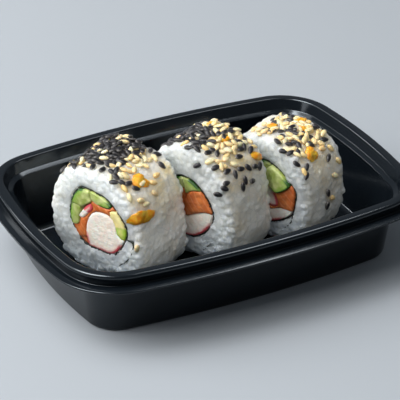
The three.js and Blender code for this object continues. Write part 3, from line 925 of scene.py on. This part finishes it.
# Fillings: the solid's own bars, softened, with the skins and fibres of the real food. The skin
# faces one way on the cut face, in degrees from the right, and covers so many degrees each side.
fillings = {
    "voxel": 0.45,
    "smoothing": 2,
    "swell": 0.13,
    "crown": {"height": 0.2, "fade": 1.4},
    "relief": {"height": 0.16, "coarse": 0.55, "fine": 1.4, "reach": 2.5},
    "skinFade": 18,
    "endSlack": 0.05,
    "skins": {
        "roll_1_crab": (-90, 85), "roll_2_crab": (-55, 75), "roll_3_crab": (-70, 70),
        "roll_1_crab_shred": (75, 95), "roll_3_crab_shred": (-30, 60),
        "roll_1_cucumber_top": (150, 75), "roll_1_cucumber_side": (180, 75),
        "roll_1_cucumber_strip": (-50, 70), "roll_2_cucumber_top": (50, 60),
        "roll_2_cucumber_side": (120, 70), "roll_3_cucumber_top": (-45, 75),
        "roll_3_cucumber_side": (120, 70),
        "roll_1_avocado": (-70, 75), "roll_2_avocado": (180, 70), "roll_3_avocado": (180, 70),
    },
}


def onRoll(roll, places):  # along, right and up on the roll, in millimetres
    back = np.array(rollMatrix(roll).inverted())
    own = (places @ back[:3, :3].T + back[:3, 3]) / mm
    return np.stack([own[:, 0], -own[:, 1], own[:, 2] - roll["half"][1]], axis=1)


def sectionEdges(roll, obj):  # the outline of the bar's cut end, as pairs of (right, up)
    own = onRoll(roll, vertexArray(obj))
    front = own[:, 0].min() + fillings["endSlack"]
    work = bmesh.new()
    work.from_mesh(obj.data)
    work.verts.ensure_lookup_table()
    pairs = []
    for edge in work.edges:
        a, b = edge.verts[0].index, edge.verts[1].index
        if own[a, 0] > front or own[b, 0] > front:
            continue
        ends = [all(own[vert.index, 0] <= front for vert in face.verts) for face in edge.link_faces]
        if sorted(ends) == [False, True]:
            pairs.append((own[a, 1:], own[b, 1:]))
    work.free()
    return np.array(pairs)


def depthBelow(pairs, spots):  # distance of each spot from the nearest edge of the outline
    start, span = pairs[:, 0], pairs[:, 1] - pairs[:, 0]
    length = (span ** 2).sum(axis=1)
    away = spots[:, None, :] - start[None]
    t = np.clip((away * span[None]).sum(axis=2) / length[None], 0, 1)
    gap = away - t[..., None] * span[None]
    return np.sqrt((gap ** 2).sum(axis=2)).min(axis=1)


def makeFilling(roll, name, material, slot):
    copy = newObject(name + "Copy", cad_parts[name].data.copy())
    pointOutwards(copy)
    pairs = sectionEdges(roll, copy)
    bar = remeshed(copy, name.replace("_", "") + "Bar", fillings["voxel"], fillings["smoothing"])
    places = vertexArray(bar)
    own = onRoll(roll, places)
    depth = depthBelow(pairs, own[:, 1:])
    middle = pairs.reshape(-1, 2).mean(axis=0)
    heading = np.degrees(np.arctan2(own[:, 2] - middle[1], own[:, 1] - middle[0]))
    facing, spread = fillings["skins"].get(name, (0, 0))
    turned = np.abs((heading - facing + 180) % 360 - 180)
    paint(bar, "depth", depth)
    paint(bar, "skin", np.clip((spread - turned) / fillings["skinFade"], 0, 1))
    paint(bar, "onFace", own)
    crown, relief = fillings["crown"], fillings["relief"]
    reach = np.abs(own[:, 0]).max()
    nearEnd = np.clip((np.abs(own[:, 0]) - reach + relief["reach"]) / relief["reach"], 0, 1)
    sunk = (1 - np.exp(-depth / crown["fade"])) * crown["height"] - crown["height"]
    coarse, fine = (noiseArray(own, relief[size], roll["seed"]) for size in ("coarse", "fine"))
    push = np.sign(own[:, 0]) * nearEnd * (sunk + (coarse + 0.5 * fine) * relief["height"])
    axis = np.array(rollMatrix(roll).to_3x3() @ Vector((1, 0, 0)))
    swell = np.array([vertex.normal for vertex in bar.data.vertices]) * fillings["swell"]
    setVertices(bar, places + (push[:, None] * axis[None] + swell) * mm)
    coat(bar, material)
    dress(bar, slot, name)
    discard(copy)


# The finishes of the fillings work in millimetres on the cut face: along the roll, right and up.
def crabFinish():
    board, where = newMaterial("crab stick", "onFace")
    squeezed = board.add("ShaderNodeMapping", {}, {
        "Vector": where, "Scale": (0.06, 0.34, 0.8), "Rotation": (0.35, 0.0, 0.0)})
    fibre = board.cells(squeezed, 1.0, {"feature": "DISTANCE_TO_EDGE"})
    seam = 1 - board.ramp(fibre, 0.0, 0.07)
    wander = board.noise(where, 0.9) * 1.1
    flesh = board.mix(board.noise(where, 0.35, 3.0), (0.84, 0.76, 0.66), (0.93, 0.88, 0.80))
    flesh = board.mix(seam * 0.25, flesh, (0.74, 0.54, 0.45))
    flesh = board.mix(board.rind(wander, 3.6, 1.2) * 0.4, flesh, (0.85, 0.36, 0.32))
    colour = board.mix(board.rind(wander, 1.9, 1.1) * 0.9, flesh, (0.66, 0.03, 0.06))
    relief = board.ramp(fibre, 0.0, 0.25) + board.noise(where, 1.2) * 0.5
    return board.surface(colour, 0.3, relief, strength=0.22, soft=0.5, bleed=(1.0, 0.6, 0.45),
                         reach=0.0022)


def salmonFinish():
    board, where = newMaterial("salmon", "onFace")
    band = board.add("ShaderNodeTexWave", {"bands_direction": "DIAGONAL"}, {
        "Vector": where, "Scale": 0.16, "Distortion": 5.0, "Detail Scale": 0.4})
    patch = board.noise(where, 0.22, 3.0)
    # Painted shade: the salmon turns darker and browner towards the bottom of the cut face.
    low = board.ramp(board.part(where, 2) + patch * 4.0, 2.0, -7.0)
    colour = board.mix(board.ramp(patch, 0.35, 0.65), (0.50, 0.12, 0.03), (0.77, 0.23, 0.06))
    colour = board.mix(low * 0.55, colour, (0.34, 0.11, 0.05))
    colour = board.mix(board.ramp(band, 0.8, 1.0) * 0.16, colour, (0.86, 0.50, 0.28))
    return board.surface(colour, 0.24, board.noise(where, 0.8, 3.0), strength=0.5, depth=0.0004,
                         soft=0.4, bleed=(1.0, 0.4, 0.2))


def cucumberFinish():
    board, where = newMaterial("cucumber", "onFace")
    wander = board.noise(where, 1.2) * 0.8
    flesh = board.mix(board.patches(where, 0.3), (0.32, 0.40, 0.09), (0.57, 0.61, 0.27))
    flesh = board.mix(board.rind(wander, 3.2, 1.0) * 0.8, flesh, (0.22, 0.42, 0.05))
    colour = board.mix(board.rind(wander, 1.25, 0.75), flesh, (0.022, 0.085, 0.012))
    return board.surface(colour, 0.24, board.noise(where, 0.9), soft=0.4, bleed=(0.7, 1.0, 0.4))


def avocadoFinish():
    board, where = newMaterial("avocado", "onFace")
    green = board.rind(board.noise(where, 0.8) * 1.2, 4.2, 0.9)
    flesh = board.mix(board.noise(where, 0.25, 3.0), (0.78, 0.64, 0.22), (0.88, 0.80, 0.42))
    colour = board.mix(green, flesh, (0.36, 0.54, 0.05))
    return board.surface(colour, 0.34, board.noise(where, 0.9), strength=0.25, soft=0.4,
                         bleed=(1.0, 0.9, 0.4))


finishes = {
    "crab": (crabFinish(), "crab_stick"),
    "salmon": (salmonFinish(), "salmon"),
    "cucumber": (cucumberFinish(), "cucumber"),
    "avocado": (avocadoFinish(), "avocado"),
}
for roll in rolls:
    for name in sorted(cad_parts):
        kind = name.removeprefix(roll["name"] + "_").split("_")[0]
        if name.startswith(roll["name"]) and kind in finishes:
            makeFilling(roll, name, *finishes[kind])
print("fillings cut")


# Sesame. A patch covers a stretch of a roll: its middle as (along, degrees round from the right
# side), its reach the same way, how many layers lie there, and how much of it is pale. Single seeds
# lie apart, as (along, degrees round, turn on the surface).
sesame = {
    "size": (4.2, 2.7, 1.9),
    "taper": 0.25,
    "sizes": (0.85, 1.1),
    "spacing": 2.3,
    "layers": 4,
    "layerHeight": 0.9,
    "lift": 0.7,
    "tilt": 0.42,
    "above": 0.2,
    "singlesAbove": 0.6,
    "fade": 1.5,
    "rimClear": 2.2,  # no heap comes nearer than this to a cut face
    "kinds": {"black": (-1.0, 1.0), "pale": (1.0, 3.0)},
    "seedShift": 20,
    "toneShare": 0.37,
    "patches": {
        "roll_1": [
            ((0, 112), (14, 22), 1.5, 0.06), ((7, 99), (9, 22), 3.3, 0.2),
            ((-2, 90), (7, 11), 1.1, 0.3), ((-3, 70), (9, 13), 1.0, 0.85),
            ((-12, 116), (2.4, 14), 1.1, 0.95), ((10, 64), (5, 6), 0.9, 0.95),
        ],
        "roll_2": [
            ((-5, 106), (11, 24), 1.4, 0.08), ((8, 98), (7, 18), 1.2, 0.75),
            ((7, 72), (8, 15), 1.2, 0.7), ((-3, 76), (9, 12), 1.1, 0.55),
            ((-8, 62), (6, 8), 1.0, 0.85), ((5, 54), (8, 8), 0.6, 0.6),
        ],
        "roll_3": [
            ((2, 88), (14, 24), 1.0, 0.76), ((-6, 66), (10, 12), 0.8, 0.75),
            ((7, 60), (8, 13), 0.6, 0.85),
        ],
    },
    "blackSingles": {
        "roll_1": [
            (-13, 121, 20), (-14, 134, 10), (-13, 100, 60), (-12.4, 88, 0), (-11, 80, 95),
            (-12, 73, 100), (-15, 69, 60), (-12, 63, 80), (-10, 58, 10), (-9, 48, 40), (10, 53, 80),
            (13, 67, 50),
        ],
        "roll_2": [
            (-13, 91, 90), (-12, 85, 100), (-14, 77, 20), (-12, 56, 10), (-9, 44, 0), (-13, 29, 40),
            (-12, 33, 10), (-14, 25, 30), (-6, 36, 110), (-2, 38, 20), (2, 35, 60), (6, 32, 20),
            (9, 29, 130), (-2, 25, 90), (-4, 20, 100), (2, 20, 10), (4, 56, 20), (8, 49, 150),
            (0, 50, 20),
        ],
        "roll_3": [
            (-7, 93, 30), (-12, 83, 80), (-13, 72, 50), (-12, 64, 10), (-9, 59, 120), (-2, 70, 150),
            (1, 69, 60), (-1, 57, 70), (10, 71, 70), (-13, 48, 60), (-10, 37, 140), (-12, 28, 150),
            (3, 32, 140), (-1, 0, 80), (-1, -7, 100), (4, 107, 20), (1, 86, 10),
        ],
    },
    "paleSingles": {
        "roll_1": [
            (-12, 118, 10), (-11, 110, 0), (-13, 98, 90), (-8, 86, 60), (-9, 68, 90),
            (-14, 43, 110), (-10, 33, 20), (-8, 26, 10), (-2, 31, 50), (-16, -4, 80), (0, 42, 30),
            (4, 47, 0), (-13, 56, 100),
        ],
        "roll_2": [
            (-12, 66, 20), (-6, 56, 10), (-10, 52, 120), (-4, 46, 40), (5, 62, 10),
        ],
        "roll_3": [
            (-12, 33, 100), (-8, 52, 60), (2, 45, 30), (7, 40, 60), (5, 10, 40), (9, 22, 60),
            (-11, 56, 80), (3, -4, 30),
        ],
    },
}


def paintPatches(roll, core, layer):
    own = vertexArray(core) / mm
    angle = onSection(roll, own)
    cover = np.zeros(len(own))
    pale = np.zeros(len(own))
    for (along, degrees), (long, wide), amount, share in sesame["patches"][roll["name"]]:
        near = ((own[:, 0] - along) / long) ** 2 + ((angle - degrees) / wide) ** 2
        weight = amount * np.exp(-near ** sesame["fade"])
        cover += weight
        pale += weight * share
    clear = np.abs(own[:, 0]) < roll["thickness"] / 2 - sesame["rimClear"]
    paint(core, "cover", np.clip(cover - layer, 0, 1) * clear)
    paint(core, "share", pale / np.maximum(cover, 1e-6))
    above = sesame["above"] + layer * sesame["layerHeight"]
    paint(core, "settle", np.full(len(own), -above * mm))
    paint(core, "loose", np.full(len(own), sesame["tilt"]))


fall = {"from": 60, "steadying": 0.6}  # how a ray finds the rice for a thing that lies on it


def placeOn(roll, along, degrees, above):  # a frame on the rice: along it, downwards, outwards
    matrix = rollMatrix(roll)
    right, up = rollSection(roll, math.radians(degrees), 0.0)
    spoke = Vector((0.0, -right, up)).normalized()
    aim = matrix @ (Vector((along, 0.0, roll["half"][1])) * mm + spoke * fall["from"] * mm)
    towards = -(matrix.to_3x3() @ spoke)
    spot, outwards = riceTrees[roll["name"]].ray_cast(aim, towards)[:2]
    outwards = (outwards - towards * fall["steadying"]).normalized()
    side = (matrix.to_3x3() @ Vector((1.0, 0.0, 0.0))).cross(outwards).normalized()
    basis = Matrix((outwards.cross(side), side, outwards)).transposed()
    return basis.to_4x4(), spot + outwards * above * mm


def strew(name, things):  # loose things become one piece
    piece = joined(name, things)
    piece.data.shade_smooth()
    dress(piece, "rice")


def singles(roll, model, name, material):
    copies = []
    for along, degrees, turn in sesame[name + "Singles"][roll["name"]]:
        basis, middle = placeOn(roll, along, degrees, sesame["singlesAbove"])
        copy = newObject(name, model.data.copy())
        spin = Matrix.Rotation(math.radians(turn), 4, "Z")
        copy.data.transform(Matrix.Translation(middle) @ basis @ spin)
        tone = turn * sesame["toneShare"] % 1.0
        paint(copy, "tone", np.full(len(copy.data.vertices), tone))
        coat(copy, material)
        copies.append(copy)
    return copies


def blackFinish():
    board, where = newMaterial("black sesame")
    mottle = board.noise(where, 1600.0, 3.0)
    tone = board.attribute("tone") * 0.7 + mottle * 0.3
    # Painted highlight: a lighter grey rim round each black seed's outline.
    rim = board.ramp(board.attribute("rim"), 0.5, 0.9)
    colour = board.mix(tone, (0.008, 0.008, 0.010), (0.034, 0.031, 0.034))
    colour = board.mix(rim * 0.7, colour, (0.22, 0.205, 0.19))
    return board.surface(colour, 0.3, mottle, strength=0.35, depth=0.0002)


def paleFinish():
    board, where = newMaterial("pale sesame")
    mottle = board.noise(where, 1300.0, 3.0)
    # Painted shade: a darker orange-brown rim round each pale seed's outline.
    rim = board.ramp(board.attribute("rim"), 0.7, 1.0)
    colour = board.mix(board.attribute("tone"), (0.90, 0.64, 0.28), (0.97, 0.87, 0.58))
    colour = board.mix(board.ramp(mottle, 0.5, 0.75) * 0.3, colour, (0.72, 0.46, 0.18))
    colour = board.mix(rim * 0.35, colour, (0.60, 0.34, 0.11))
    return board.surface(colour, 0.38, mottle, strength=0.25, depth=0.0002, soft=0.35,
                         bleed=(1.0, 0.7, 0.4), reach=0.0012)


def seedMesh():  # its rim attribute is 0 on the middle line and 1 round the outline
    model = pipMesh("seedModel", sesame["size"], sesame["taper"])
    places = vertexArray(model) / mm
    length, width, thick = sesame["size"]
    rim = (2 * places[:, 0] / length) ** 2 + (2 * places[:, 1] / width) ** 2
    paint(model, "rim", np.clip(rim, 0, 1))
    return model


def makeSesame():
    model = seedMesh()
    materials = {"black": blackFinish(), "pale": paleFinish()}
    heaps = {kind: [] for kind in materials}
    for roll, core in zip(rolls, cores):
        for layer in range(sesame["layers"]):
            paintPatches(roll, core, layer)
            for kind, (low, high) in sesame["kinds"].items():
                heap = scatter(core, kind + roll["name"], {
                    "Thing": model, "Finish": materials[kind], "Spacing": sesame["spacing"] * mm,
                    "Lift": sesame["lift"] * mm, "Size Low": sesame["sizes"][0],
                    "Size High": sesame["sizes"][1], "Kind Low": low, "Kind High": high,
                    "Seed": roll["seed"] + sesame["seedShift"] + layer})
                heap.data.transform(rollMatrix(roll))
                heaps[kind].append(heap)
        for kind, material in materials.items():
            heaps[kind] += singles(roll, model, kind, material)
    for kind in materials:
        strew(kind + "Sesame", heaps[kind])
    discard(model)


makeSesame()
print("sesame sprinkled")


# Flakes: soft orange shreds, each a lumpy slip draped over the rice, as (along, degrees round,
# turn, length, width).
flakes = {
    "thick": 2.0,
    "taper": 0.2,
    "steps": (16, 9),
    "lumps": {"depth": 0.55, "scale": 0.9},
    "above": 0.5,
    "reach": 12,
    "places": {
        "roll_1": [(-12.6, 16, -2, 8.6, 6.2), (-9.0, 14, 0, 9.0, 5.2),
                   (-5.6, 54, -30, 7.4, 6.4), (-4.0, 48, 30, 5.4, 4.6)],
        "roll_2": [(9.4, 40, 30, 7.0, 4.0), (9, 100, 40, 5.0, 3.6), (2, 75, 10, 4.6, 3.4)],
        "roll_3": [(-4.6, 48, -60, 6.6, 6.0), (-3.4, 44, 0, 4.6, 4.0), (9, 87, 20, 6.0, 4.2),
                   (-3, 98, 30, 5.0, 4.0), (4, 78, 60, 4.0, 3.0)],
    },
}


def flakeFinish():
    board, where = newMaterial("orange flake")
    colour = board.mix(board.patches(where, 500.0), (1.0, 0.30, 0.008), (1.0, 0.52, 0.05))
    return board.surface(colour, 0.3, board.noise(where, 1200.0), strength=0.4, soft=0.6,
                         bleed=(1.0, 0.5, 0.15), reach=0.0025)


def drape(roll, model, along, degrees, turn):  # bends a slip that lies flat on XY over the rice
    basis, middle = placeOn(roll, along, degrees, 0.0)
    spun = basis @ Matrix.Rotation(math.radians(turn), 4, "Z")
    outwards = basis.to_3x3() @ Vector((0.0, 0.0, 1.0))
    places = []
    for vertex in model.data.vertices:
        flat = middle + spun @ Vector((vertex.co.x, vertex.co.y, 0.0))
        start = flat + outwards * flakes["reach"] * mm
        spot = riceTrees[roll["name"]].ray_cast(start, -outwards)[0]
        places.append((spot or flat) + outwards * (vertex.co.z + flakes["above"] * mm))
    setVertices(model, places)


def makeFlakes():
    material = flakeFinish()
    lumps = flakes["lumps"]
    slips = []
    for roll in rolls:
        for along, degrees, turn, length, width in flakes["places"][roll["name"]]:
            size = (length, width, flakes["thick"])
            model = pipMesh("flake", size, flakes["taper"], *flakes["steps"])
            places = vertexArray(model) / mm
            push = [noise.noise_vector(Vector(place) * lumps["scale"] + Vector((turn, along, 0.0)))
                    for place in places]
            setVertices(model, (places + np.array(push) * lumps["depth"]) * mm)
            drape(roll, model, along, degrees, turn)
            coat(model, material)
            slips.append(model)
    strew("orangeFlakes", slips)


makeFlakes()
discard(*cores)
print("flakes dropped")
